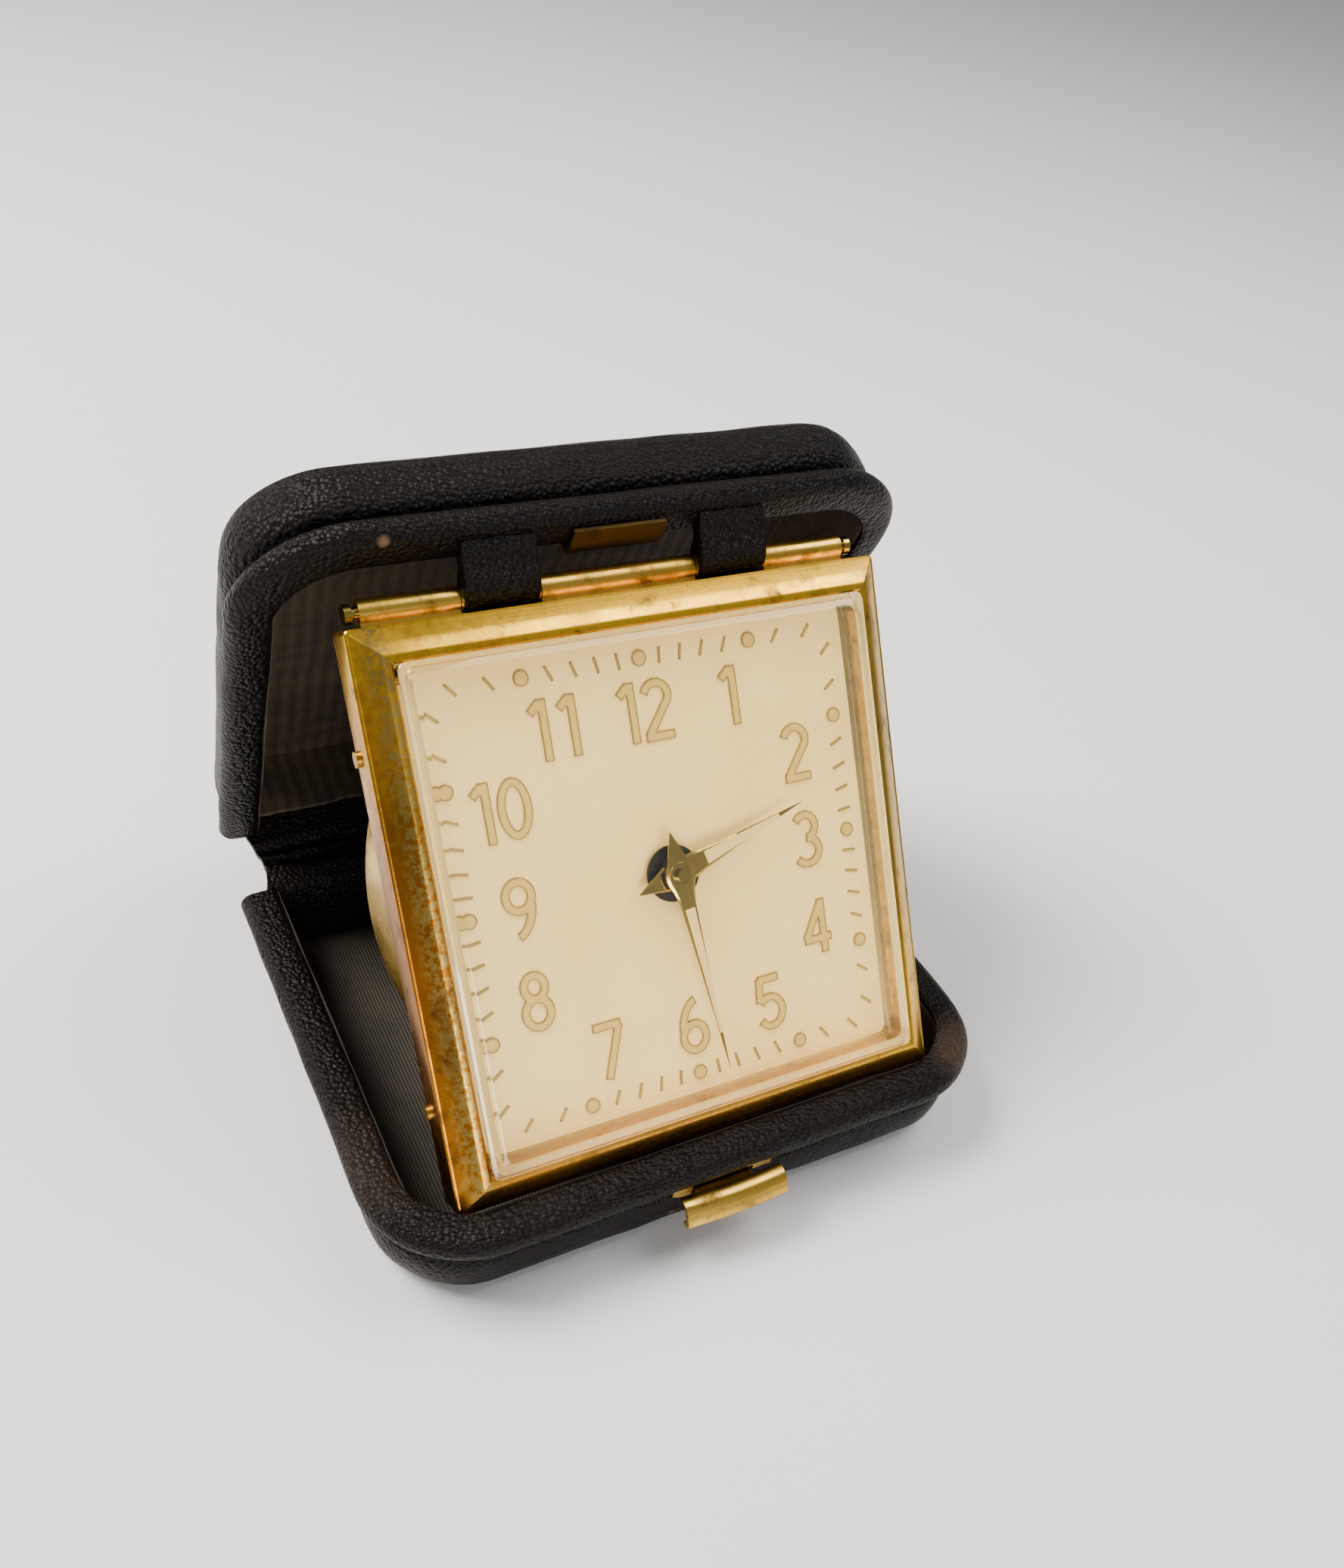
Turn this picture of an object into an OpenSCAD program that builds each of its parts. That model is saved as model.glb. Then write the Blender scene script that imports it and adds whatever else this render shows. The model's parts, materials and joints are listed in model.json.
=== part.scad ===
// Folding travel alarm clock: two leather-covered half cases joined by a leather
// spine, and a square brass clock that hangs from a hinge at the lid's free edge.
// Millimetres, +Z up, the dial faces -Y. The origin is on the resting surface,
// under the middle of the open base.

/* [Case] */
// Width of each half case over its rolled rim
case_w = 85.3; // [84.5:0.1:88]
// Depth of each half case from its free edge to the spine
case_d = 63; // [62.8:0.1:66]
// Height of each half case
case_h = 13; // [12.8:0.1:14]
// Radius of the two corners at the free edge
corner_r = 13.5; // [13:0.5:15]
// Radius of the outline that the hollow's tighter corners are drawn in from
hollow_r = 11; // [10.5:0.1:11.2]
// Height of the rolled rim
rim_h = 3.4; // [3:0.1:4]
// How far the rim stands out past the padded body
rim_overhang = 1.8; // [1:0.1:2.2]
// Wall thickness from the rim's outside to the lining
wall_t = 5.2; // [5:0.1:5.3]
// Thickness of the case floor under the lining
floor_t = 1.0; // [0.8:0.1:1.1]
// Thickness of the fabric lining
lining_t = 0.3; // [0.2:0.1:0.4]
// Backward position of the lid's hinge edge
lid_y = 40.36; // [40:0.1:42]
// Height of the lid's hinge edge
lid_z = 15.27; // [15:0.1:17]
// Forward lean of the open lid from upright, in degrees
lid_lean = 23.13; // [22:0.1:24]

/* [Clock head] */
// Width of the square bezel
head_w = 66; // [65:0.1:66.5]
// Height of the square bezel
head_h = 65.8; // [65:0.1:66]
// Position of the middle of the bezel's front edge plane, backward
head_y = -7.14; // [-7.2:0.02:-7]
// Position of the middle of the bezel's front edge plane, upward
head_z = 38.8; // [38.7:0.1:39.5]
// Backward lean of the dial from upright, in degrees
head_lean = 34.77; // [34:0.1:35.5]
// Width of the bezel's sloping front frame
chamfer_w = 3.2; // [2.5:0.1:3.6]
// Height of the bezel's sloping front frame
chamfer_h = 2.05; // [1.5:0.05:2.4]
// Depth of the bezel's side band
band_d = 5; // [4.8:0.1:5.1]
// Radius of the round drum behind the bezel
drum_r = 32.5; // [32:0.1:32.6]
// Depth of the back of the drum behind the bezel's front edge plane
drum_back = 16; // [16:0.1:16.2]
// How far the crystal stands in front of the bezel's front edge plane
crystal_h = 4; // [3.6:0.1:4.4]

/* [Hinge] */
// Height of the hinge pin above the middle of the dial
pin_v = 34.5; // [34.5:0.1:34.8]
// Depth of the hinge pin behind the bezel's front edge plane
pin_d = 3.8; // [3.6:0.1:4]
// Radius of the hinge pin
pin_r = 0.7; // [0.5:0.05:0.8]
// Radius of the hinge knuckles
knuckle_r = 1.45; // [1.3:0.05:1.5]
// Radial running clearance of pins, pipes and arbors
run_gap = 0.06; // [0.04:0.01:0.08]

/* [Dial and hands] */
// Half size of the square track of hour dots
track_half = 25.1; // [24:0.1:26]
// Distance of the numerals' middles from the dial's axes
numeral_at = 19.1; // [18:0.1:20]
// Height of the numerals
numeral_h = 7; // [6:0.1:7.5]
// Length of the minute hand from the axis
minute_len = 25.2; // [23:0.1:25.5]
// Length of the hour hand from the axis
hour_len = 19; // [17:0.1:20]
// Minutes past two shown by the hands at rest
minutes = 28.9; // [0:0.1:59.9]

/* [Clasp] */
// Width of the thumb button
clasp_w = 14; // [12:0.5:15]
// Travel of the thumb button
clasp_travel = 1.2; // [0.8:0.1:1.2]

/* [Hidden] */
$fn = 64;
e = 0.01;
half_w = case_w / 2;
base_y = case_d / 2;
shell_top = case_h - rim_h;
leather_in = lining_t - wall_t;
body_in = -rim_overhang;
bezel_in_w = head_w - 2.8;
bezel_in_h = head_h - 2.8;
glass_w = head_w - 2 * chamfer_w - 1.7;
glass_h = head_h - 2 * chamfer_w - 1.7;
minute_angle = -6 * minutes;
hour_angle = -(60 + minutes / 2);
key_h = 2.2;

// Knuckle boundaries along the pin, from the middle outward
knuckle_a = 9.7;
knuckle_b = 19.2;
knuckle_c = 30.3;
side_gap = 0.12;

// Radii of the arbors, pipes and pivots in the movement
arbor_r = 0.6;
hour_pipe_r = 1.1;
alarm_pipe_r = 1.6;
wind_r = 1.0;
pivot_r = 0.35;

// Gear modules: barrel, centre wheel, third wheel and on, cannon pinion, hour wheel
mod_barrel = 0.45;
mod_centre = 0.3;
mod_third = 0.25;
mod_cannon = 0.4;
mod_hour = 0.32;

// Teeth of the wheels and pinions
t_barrel = 48;
t_centre_p = 12;
t_wheel = 60;
t_pinion = 10;
t_cannon = 12;
t_minute = 36;
t_hour_p = 12;
t_hour = 48;
t_set = 24;

// Places of the arbors on the plates, seen from the front
function polar(r, a) = [r * cos(a), r * sin(a)];
r_barrel = mod_barrel * (t_barrel + t_centre_p) / 2;
r_third = mod_centre * (t_wheel + t_pinion) / 2;
r_train = mod_third * (t_wheel + t_pinion) / 2;
r_minute = mod_cannon * (t_cannon + t_minute) / 2;
r_set = mod_hour * (t_hour + t_set) / 2;
a_barrel = 200;
a_third = 110;
a_fourth = 60;
a_escape = 0;
a_minute = 135;
a_set = 30;
at_barrel = polar(r_barrel, a_barrel);
at_third = polar(r_third, a_third);
at_fourth = at_third + polar(r_train, a_fourth);
at_escape = at_fourth + polar(r_train, a_escape);
at_minute = polar(r_minute, a_minute);
at_set = polar(r_set, a_set);
at_alarm = [9, -15];
at_pallet = at_escape + polar(6.4, -50);
at_balance = [19, 6];
at_hammer = [-24, 6];
at_lever = [20, -4];
pillar_angles = [88, 190, 258, 345];
pillar_at = 28;
plate_r = 30.5;

// ---------------------------------------------------------------- helpers

function arc(c, rx, ry, a0, a1, n) =
    [for (i = [0:n]) let (a = a0 + (a1 - a0) * i / n) c + [rx * cos(a), ry * sin(a)]];

// Outline of a half case seen from above: the hinge edge lies on y = 0
function tray_outline(o, back, r = corner_r) = concat(
    [[half_w + o, back], [-half_w - o, back]],
    arc([-half_w + r, -case_d + r], r + o, r + o, 180, 270, 12),
    arc([half_w - r, -case_d + r], r + o, r + o, 270, 360, 12));

function round_square(w, h, r) = concat(
    arc([w / 2 - r, h / 2 - r], r, r, 0, 90, 5), arc([-w / 2 + r, h / 2 - r], r, r, 90, 180, 5),
    arc([-w / 2 + r, -h / 2 + r], r, r, 180, 270, 5),
    arc([w / 2 - r, -h / 2 + r], r, r, 270, 360, 5));

// A line of even thickness through a list of points
function side_of(p, i, w) =
    let (a = p[max(i - 1, 0)], b = p[min(i + 1, len(p) - 1)], t = (b - a) / norm(b - a))
    p[i] + [-t[1], t[0]] * w / 2;
function thick(p, w) = concat(
    [for (i = [0:len(p) - 1]) side_of(p, i, w)],
    [for (i = [len(p) - 1:-1:0]) side_of(p, i, -w)]);

// Thin straight-sided teeth; tooth 0 points at the angle called phase
function gear_points(n, m, phase) = [for (i = [0:n - 1])
    each [for (k = [[-1.1, -0.29], [0.8, -0.11], [0.8, 0.11], [-1.1, 0.29]])
        polar(m * (n / 2 + k[0]), phase + 360 / n * (i + k[1]))]];

function spiral(r0, r1, turns, n) = [for (i = [0:turns * n])
    polar(r0 + (r1 - r0) * i / (turns * n), 360 * i / n)];

module in_head() {
    translate([0, head_y, head_z]) rotate([-head_lean, 0, 0]) children();
}

// A flat shape seen from the front, between two depths behind the bezel's edge
module layer(d0, d1) {
    in_head() translate([0, d1, 0]) rotate([90, 0, 0]) linear_extrude(d1 - d0) children();
}

module disc(d0, d1, r, at = [0, 0], bore = 0) {
    layer(d0, d1) translate(at) difference() {
        circle(r);
        if (bore > 0) circle(bore);
    }
}

module gear(d0, d1, n, m, at, phase, bore) {
    layer(d0, d1) translate(at) difference() {
        polygon(gear_points(n, m, phase));
        circle(bore);
    }
}

module in_base() {
    translate([0, base_y, 0]) children();
}

// The lid is the same tray stood on its hinge edge, its opening to the front
module in_lid() {
    translate([0, lid_y, lid_z]) rotate([lid_lean, 0, 0]) children();
}

module lid_tray() {
    in_lid() translate([0, case_h, 0]) rotate([90, 0, 0]) rotate([0, 0, 180]) children();
}

module ring_wall(z0, z1, outer, inner, r = corner_r) {
    translate([0, 0, z0]) linear_extrude(z1 - z0) difference() {
        polygon(tray_outline(outer, 0, r));
        polygon(tray_outline(inner, 1, hollow_r));
    }
}

// ------------------------------------------------------------- half cases

module half_shell() {
    linear_extrude(floor_t) polygon(tray_outline(body_in, 0));
    ring_wall(floor_t, shell_top, body_in, leather_in);
}

module half_rim() {
    step = rim_h / 4;
    ring_wall(shell_top, shell_top + step, -0.5, leather_in);
    ring_wall(shell_top + step, case_h - step, 0, leather_in);
    ring_wall(case_h - step, case_h, -0.5, leather_in);
}

module half_lining() {
    pad_t = 0.5;
    translate([0, 0, floor_t]) linear_extrude(pad_t)
        polygon(tray_outline(leather_in, 0, hollow_r));
    ring_wall(floor_t + pad_t, case_h - 0.5, leather_in, leather_in - lining_t, hollow_r);
}

// The slot that the clasp's stem slides in, through the front wall
slot_z = 6.4;
slot_h = 3.4;
slot_w = 8.6;
stem_l = 3.1;
module clasp_slot() {
    translate([-slot_w / 2, -base_y - 1, slot_z - slot_h / 2]) cube([slot_w, 5.9, slot_h]);
}

module base_shell() {
    color("#17130f") difference() {
        in_base() half_shell();
        clasp_slot();
    }
}

module base_rim() {
    color("#1d1712") in_base() half_rim();
}

module base_lining() {
    color("#6d6650") in_base() half_lining();
}

module lid_shell() {
    color("#17130f") lid_tray() half_shell();
}

module lid_rim() {
    color("#1d1712") lid_tray() half_rim();
}

module lid_lining() {
    color("#6a4128") lid_tray() half_lining();
}

// The spine runs up behind the base, across the gap and along the lid's edge
spine_t = 0.9;
module spine_leather() {
    gap = 0.1 + spine_t / 2;
    corner = [lid_y, lid_z] + [sin(lid_lean), -cos(lid_lean)] * gap;
    along = [cos(lid_lean), sin(lid_lean)];
    path = [
        [base_y + gap, 0.6], [base_y + gap, 9.5], [base_y + gap + 0.9, 12],
        corner - along * 3.4 - [0, 0.6], corner - along * 0.4, corner + along * 5,
        corner + along * case_h];
    color("#241c16") translate([-half_w + 4, 0, 0]) rotate([90, 0, 90])
        linear_extrude(case_w - 8) polygon(thick(path, spine_t));
}

// ------------------------------------------------------------------ clasp

face_y = -base_y + rim_overhang;
plate_t = 0.4;
cap_back = face_y - plate_t - clasp_travel - 0.1;
cap_t = 2.6;

module clasp_plate() {
    color("#a57f3c") difference() {
        translate([-7, face_y - plate_t, slot_z - 2.6]) cube([14, plate_t, 5.2]);
        clasp_slot();
    }
}

module clasp_button() {
    bow = 24;
    color("#b98d3f") {
        intersection() {
            translate([-clasp_w / 2, cap_back - cap_t, slot_z - 2.4])
                cube([clasp_w, cap_t, 5]);
            translate([0, cap_back - cap_t + bow, slot_z - 3]) cylinder(r = bow, h = 6);
        }
        translate([-4, cap_back, slot_z - 1.3]) cube([8, stem_l, 2.6]);
    }
}

// ------------------------------------------------------------------ hinge

// The pin's place in the lid's own frame, from its place on the clock
function turn(p, a) = [p[0] * cos(a) - p[1] * sin(a), p[0] * sin(a) + p[1] * cos(a)];
pin_world = [head_y, head_z] + turn([pin_d, pin_v], -head_lean);
pin_lid = turn(pin_world - [lid_y, lid_z], -lid_lean);

module along_pin(x0, x1) {
    translate([x0, pin_world[0], pin_world[1]]) rotate([0, 90, 0]) children();
}

module knuckle(x0, x1, bore) {
    along_pin(x0, x1) difference() {
        cylinder(r = knuckle_r, h = x1 - x0);
        translate([0, 0, -1]) cylinder(r = bore, h = x1 - x0 + 2);
    }
}

module lid_tabs() {
    free_edge = case_d - 0.4;
    shape = [
        pin_lid + [-1.3, 0.2], pin_lid + [-1.6, 2.6], [-3.2, free_edge - 1.2],
        [-0.9, free_edge], [-0.02, free_edge], [-0.02, case_d - wall_t - 0.2],
        pin_lid + [1.2, 0]];
    color("#1a1511") difference() {
        for (s = [-1, 1]) in_lid() translate([s * (knuckle_a + knuckle_b) / 2 - 4, 0, 0])
            rotate([90, 0, 90]) linear_extrude(8) polygon(shape);
        along_pin(-half_w, half_w) cylinder(r = knuckle_r, h = case_w);
    }
}

module lid_knuckles() {
    color("#b08a3e") {
        knuckle(-knuckle_b + side_gap, -knuckle_a - side_gap, pin_r);
        knuckle(knuckle_a + side_gap, knuckle_b - side_gap, pin_r);
    }
}

module head_knuckle(x0, x1) {
    in_head() translate([x0, 0, 0]) rotate([90, 0, 90]) linear_extrude(x1 - x0) difference() {
        union() {
            translate([pin_d, pin_v]) circle(knuckle_r);
            translate([pin_d - 0.9, head_h / 2]) square([1.8, pin_v - head_h / 2]);
        }
        translate([pin_d, pin_v]) circle(pin_r + run_gap);
    }
}

module head_knuckles() {
    color("#b5903f") {
        head_knuckle(-knuckle_c, -knuckle_b);
        head_knuckle(-knuckle_a, knuckle_a);
        head_knuckle(knuckle_b, knuckle_c);
    }
}

module hinge_pin() {
    color("#c9c9c4") {
        along_pin(-knuckle_c - 0.8, 0) cylinder(r = pin_r, h = 2 * knuckle_c + 1.6);
        for (x = [-knuckle_c - 1.5, knuckle_c + 0.7]) along_pin(x, 0) cylinder(r = 1.1, h = 0.8);
    }
}

module catch_plate() {
    plate_w = 11.4;
    edge = case_d - wall_t;
    color("#b58a3c") in_lid() {
        translate([-plate_w / 2, -0.7, edge - 0.7]) cube([plate_w, 0.68, 4.2]);
        translate([-plate_w / 2, -0.7, edge - 0.7]) cube([plate_w, 3, 0.68]);
    }
}

// ------------------------------------------------------------- clock head

// The sloping frame is where two mitred prisms cross
module slope_across(w, reach) {
    rise = [[-w / 2, 0], [chamfer_w - w / 2, -chamfer_h], [w / 2 - chamfer_w, -chamfer_h], [w / 2, 0]];
    in_head() translate([0, 0, -reach / 2]) linear_extrude(reach) polygon(rise);
}

module slope_along(h, reach) {
    rise = [[0, -h / 2], [-chamfer_h, chamfer_w - h / 2], [-chamfer_h, h / 2 - chamfer_w], [0, h / 2]];
    in_head() translate([-reach / 2, 0, 0]) rotate([90, 0, 90]) linear_extrude(reach) polygon(rise);
}

module bezel() {
    color("#b8923f") difference() {
        union() {
            layer(0, band_d) square([head_w, head_h], center = true);
            intersection() {
                slope_across(head_w, 2 * head_h);
                slope_along(head_h, 2 * head_w);
            }
        }
        layer(1.2, band_d + 1) polygon(round_square(bezel_in_w, bezel_in_h, 0.4));
        layer(-chamfer_h - 1, 2) polygon(round_square(glass_w, glass_h, 1));
    }
}

module crystal() {
    gap = 0.1;
    color("#dfe6e2", 0.35) difference() {
        union() {
            layer(1 - crystal_h, 1.3) polygon(round_square(glass_w - gap, glass_h - gap, 1));
            layer(0.5 - crystal_h, 1 - crystal_h)
                polygon(round_square(glass_w - 1, glass_h - 1, 1));
            layer(-crystal_h, 0.5 - crystal_h)
                polygon(round_square(glass_w - 2.6, glass_h - 2.6, 1));
        }
        layer(1.5 - crystal_h, 2) polygon(round_square(glass_w - 3, glass_h - 3, 1));
    }
}

module dial() {
    color("#cdbf9b") layer(1.6, 2) difference() {
        polygon(round_square(bezel_in_w - 0.2, bezel_in_h - 0.2, 0.4));
        circle(alarm_pipe_r + run_gap);
    }
}

// Numeral shapes in a cell one unit high, as strokes and closed rings
w_stroke = 0.15;
ink_t = 0.25;
function strokes(n) =
    n == 1 ? [[[-0.17, 0.29], [0.02, 0.46]], [[0.05, 0.5], [0.05, -0.5]]] :
    n == 2 ? [concat(arc([0, 0.22], 0.22, 0.22, 165, -20, 8), [[-0.2, -0.4]]),
        [[-0.27, -0.44], [0.26, -0.44]]] :
    n == 3 ? [arc([-0.01, 0.23], 0.21, 0.21, 150, -85, 10),
        arc([-0.01, -0.21], 0.24, 0.23, 88, -150, 12)] :
    n == 4 ? [[[0.11, -0.5], [0.11, 0.5]], [[0.1, 0.44], [-0.26, -0.2]],
        [[-0.3, -0.22], [0.27, -0.22]]] :
    n == 5 ? [[[0.22, 0.44], [-0.2, 0.44]], [[-0.17, 0.46], [-0.2, 0.02]],
        arc([0, -0.17], 0.24, 0.27, 140, -150, 14)] :
    n == 6 ? [arc([0.15, -0.14], 0.36, 0.6, 172, 100, 8)] :
    n == 7 ? [[[-0.25, 0.44], [0.27, 0.44]], [[0.23, 0.42], [-0.08, -0.5]]] :
    n == 9 ? [arc([-0.15, 0.14], 0.36, 0.6, -8, -80, 8)] : [];
function rings(n) =
    n == 0 ? [[0, 0, 0.22, 0.43]] :
    n == 6 ? [[0, -0.21, 0.22, 0.24]] :
    n == 8 ? [[0, 0.24, 0.18, 0.2], [0, -0.2, 0.22, 0.24]] :
    n == 9 ? [[0, 0.21, 0.22, 0.24]] : [];

module digit(n) {
    for (s = strokes(n)) linear_extrude(ink_t) polygon(numeral_h * thick(s, w_stroke));
    for (q = rings(n)) linear_extrude(ink_t) difference() {
        polygon(numeral_h * arc([q[0], q[1]], q[2] + w_stroke / 2, q[3] + w_stroke / 2, 0, 345, 23));
        polygon(numeral_h * arc([q[0], q[1]], q[2] - w_stroke / 2, q[3] - w_stroke / 2, 0, 345, 23));
    }
}

// Middles of the numerals follow a square with its corners cut
function numeral_place(h) =
    let (k = h % 3, c = k == 0 ? [0, 1] : k == 1 ? [0.59, 1] : [1, 0.57],
        q = floor((h % 12) / 3))
    turn(numeral_at * c, -90 * q);

module dial_numerals() {
    color("#a8843c") in_head() translate([0, 1.6, 0]) rotate([90, 0, 0])
        for (h = [1:12]) translate(concat(numeral_place(h), [0])) {
            if (h < 10) digit(h);
            if (h >= 10) {
                translate([-0.3 * numeral_h, 0, 0]) digit(1);
                translate([0.2 * numeral_h, 0, 0]) digit(h - 10);
            }
        }
}

function track_point(a, half) = half / max(abs(sin(a)), abs(cos(a))) * [sin(a), cos(a)];

module dial_dots() {
    color("#a8843c") for (h = [0:11])
        disc(1.3, 1.6, 0.9, track_point(30 * h, track_half));
}

module dial_ticks() {
    color("#8f7033") for (m = [0:59]) if (m % 5 != 0)
        layer(1.45, 1.6) translate(track_point(6 * m, track_half)) rotate(-6 * m)
            square([0.32, 1.8], center = true);
}

module side_studs() {
    color("#b8923f") for (s = [-1, 1], v = [19.5, -21]) in_head()
        translate([s * head_w / 2, 3.6, v]) rotate([0, 90, 0])
        translate([0, 0, s > 0 ? 0 : -0.5]) cylinder(r = 0.9, h = 0.5);
}

// --------------------------------------------------- frame of the movement

module back_frame() {
    color("#9a7a38") layer(4.2, band_d) difference() {
        polygon(round_square(bezel_in_w, bezel_in_h, 0.4));
        circle(29.5);
    }
}

// Holes that both plates share: each entry is a place and a radius
function plate_holes() = [
    [at_third, pivot_r], [at_fourth, pivot_r], [at_escape, pivot_r], [at_pallet, pivot_r],
    [at_balance, pivot_r], [at_hammer, pivot_r], [[0, 0], arbor_r], [at_set, arbor_r],
    [at_barrel, wind_r], [at_alarm, wind_r]];

module plate(d0, d1) {
    layer(d0, d1) difference() {
        circle(plate_r);
        for (h = plate_holes()) translate(h[0]) circle(h[1] + run_gap);
        if (d0 < 10) translate(at_minute) circle(arbor_r + run_gap);
    }
}

module front_plate() {
    color("#b5933f") plate(5.2, 6);
}

module back_plate() {
    color("#b5933f") plate(13.4, 14.2);
}

module pillars() {
    color("#c0a050") for (a = pillar_angles) disc(6, 13.4, 1.2, polar(pillar_at, a));
}

module back_cover() {
    color("#a98a3f") {
        disc(band_d, drum_back - 0.8, drum_r, [0, 0], drum_r - 1);
        layer(drum_back - 0.8, drum_back) difference() {
            circle(drum_r);
            for (p = [[0, 0], at_set]) translate(p) circle(arbor_r + 0.3);
            for (p = [at_barrel, at_alarm]) translate(p) circle(wind_r + 0.3);
            for (a = pillar_angles) translate(polar(pillar_at, a)) circle(0.6);
            translate(at_lever) circle(arbor_r + run_gap);
        }
    }
}

module cover_screws() {
    color("#c8b070") for (a = pillar_angles) {
        disc(14.2, drum_back, 0.6, polar(pillar_at, a));
        layer(drum_back, drum_back + 0.6) translate(polar(pillar_at, a)) difference() {
            circle(1.3);
            square([0.3, 3], center = true);
        }
    }
}

// -------------------------------------------------------- hands and motion

// A pointed hand about its own axis: round boss, neck, long taper, pointed tail
module hand_shape(len, tail, boss_r, neck_w, bore) {
    side = boss_r * 0.93;
    difference() {
        union() {
            polygon([[0, len], [-neck_w / 2, 3.7], [-side, 0.7], [-side, -0.7], [0, -tail],
                [side, -0.7], [side, 0.7], [neck_w / 2, 3.7]]);
            circle(boss_r);
        }
        circle(bore);
    }
}

module minute_hand() {
    color("#b08f48") layer(-1.4, -1.15) rotate(minute_angle)
        hand_shape(minute_len, 5.3, 1.9, 2, arbor_r);
}

module hour_hand() {
    color("#b08f48") layer(-0.4, -0.15) rotate(hour_angle)
        hand_shape(hour_len, 5.4, 2, 2.6, hour_pipe_r);
}

module centre_arbor() {
    color("#8d8d8d") {
        disc(-1.8, drum_back + 0.4, arbor_r);
        disc(-1.9, -1.4, 0.75);
    }
}

module cannon_pinion() {
    color("#9a9a92") gear(4.1, 4.8, t_cannon, mod_cannon, [0, 0], a_minute, arbor_r);
}

module centre_pinion() {
    color("#9a9a92") gear(6.2, 8, t_centre_p, mod_barrel, [0, 0], a_barrel, arbor_r);
}

module centre_wheel() {
    color("#c2a04a") gear(11.6, 12.1, t_wheel, mod_centre, [0, 0], a_third, arbor_r);
}

module knob(at, bore) {
    layer(drum_back + 0.4, drum_back + key_h) translate(at) difference() {
        polygon(gear_points(24, 0.22, 0));
        circle(bore);
    }
}

module time_set_knob() {
    color("#b8923f") knob([0, 0], arbor_r);
    color("#b8923f") disc(drum_back + 0.4, drum_back + 1, arbor_r);
}

module hour_wheel() {
    bore = arbor_r + run_gap;
    color("#c2a04a") {
        gear(3.2, 3.8, t_hour, mod_hour, [0, 0], a_minute + 180 / t_hour, bore);
        disc(-0.4, 3.2, hour_pipe_r, [0, 0], bore);
    }
}

module minute_wheel() {
    color("#c2a04a") {
        gear(4.1, 4.8, t_minute, mod_cannon, at_minute, a_minute + 180 + 180 / t_minute, e);
        gear(3.2, 3.8, t_hour_p, mod_hour, at_minute, a_minute + 180, e);
        disc(3.8, 4.1, 1, at_minute);
        disc(4.8, 5.9, arbor_r, at_minute);
    }
}

module alarm_wheel() {
    bore = hour_pipe_r + run_gap;
    color("#c2a04a") {
        gear(2.3, 2.9, t_hour, mod_hour, [0, 0], a_set, bore);
        disc(0.7, 2.3, alarm_pipe_r, [0, 0], bore);
    }
}

module alarm_disc() {
    color("#3a2a18") layer(0.7, 1) rotate(hour_angle) difference() {
        union() {
            circle(3.4);
            polygon([[-0.35, 3], [0, 13], [0.35, 3]]);
        }
        circle(alarm_pipe_r);
    }
}

module alarm_set_pinion() {
    phase = a_set + 180 + 180 / t_set;
    color("#c2a04a") {
        gear(2.3, 2.9, t_set, mod_hour, at_set, phase, arbor_r - e);
        disc(2.3, drum_back + 0.4, arbor_r, at_set);
    }
}

module alarm_set_knob() {
    color("#b8923f") knob(at_set, arbor_r);
    color("#b8923f") disc(drum_back + 0.4, drum_back + 1, arbor_r, at_set);
}

// ------------------------------------------------------------ going train

module train_arbor(at) {
    disc(5.3, 6.2, pivot_r, at);
    disc(6.2, 13.2, 0.5, at);
    disc(13.2, 14.1, pivot_r, at);
}

module third_wheel() {
    color("#c2a04a") {
        gear(12.5, 12.9, t_wheel, mod_third, at_third, a_fourth, 0.4);
        gear(11.5, 12.2, t_pinion, mod_centre, at_third, a_third + 180 + 180 / t_pinion, 0.4);
        train_arbor(at_third);
    }
}

module fourth_wheel() {
    color("#c2a04a") {
        gear(9.4, 9.8, t_wheel, mod_third, at_fourth, a_escape, 0.4);
        gear(12.4, 13, t_pinion, mod_third, at_fourth, a_fourth + 180 + 180 / t_pinion, 0.4);
        train_arbor(at_fourth);
    }
}

module escape_wheel() {
    teeth = 15;
    color("#c2a04a") {
        layer(7.4, 8) translate(at_escape) difference() {
            polygon([for (i = [0:teeth - 1]) each [
                polar(3.9, 360 / teeth * (i - 0.3)), polar(5, 360 / teeth * i),
                polar(3.9, 360 / teeth * (i + 0.1))]]);
            circle(0.4);
        }
        gear(9.3, 9.9, t_pinion, mod_third, at_escape, a_escape + 180 + 180 / t_pinion, 0.4);
        train_arbor(at_escape);
    }
}

module pallet_fork() {
    to_wheel = 130;
    to_balance = atan2(at_balance[1] - at_pallet[1], at_balance[0] - at_pallet[0]);
    color("#a9a9a4") {
        layer(8.3, 8.7) translate(at_pallet) difference() {
            union() {
                for (s = [-1, 1]) polygon(thick([[0, 0], polar(3.3, to_wheel + 62 * s)], 0.9));
                polygon(thick([[0, 0], polar(5.6, to_balance)], 0.8));
                circle(1);
            }
            circle(0.4);
        }
        for (s = [-1, 1])
            disc(7.4, 8.3, 0.25, at_pallet + polar(3, to_wheel + 62 * s));
        train_arbor(at_pallet);
    }
}

module balance_wheel() {
    color("#c9a94f") {
        layer(9.2, 10.2) translate(at_balance) difference() {
            circle(6.8);
            difference() {
                circle(5.9);
                square([12, 0.8], center = true);
                circle(1);
            }
            circle(0.4);
        }
        train_arbor(at_balance);
    }
}

module hairspring() {
    color("#35507a") layer(10.9, 11.2) translate(at_balance)
        polygon(thick(spiral(0.6, 4.4, 5, 20), 0.16));
}

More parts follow.
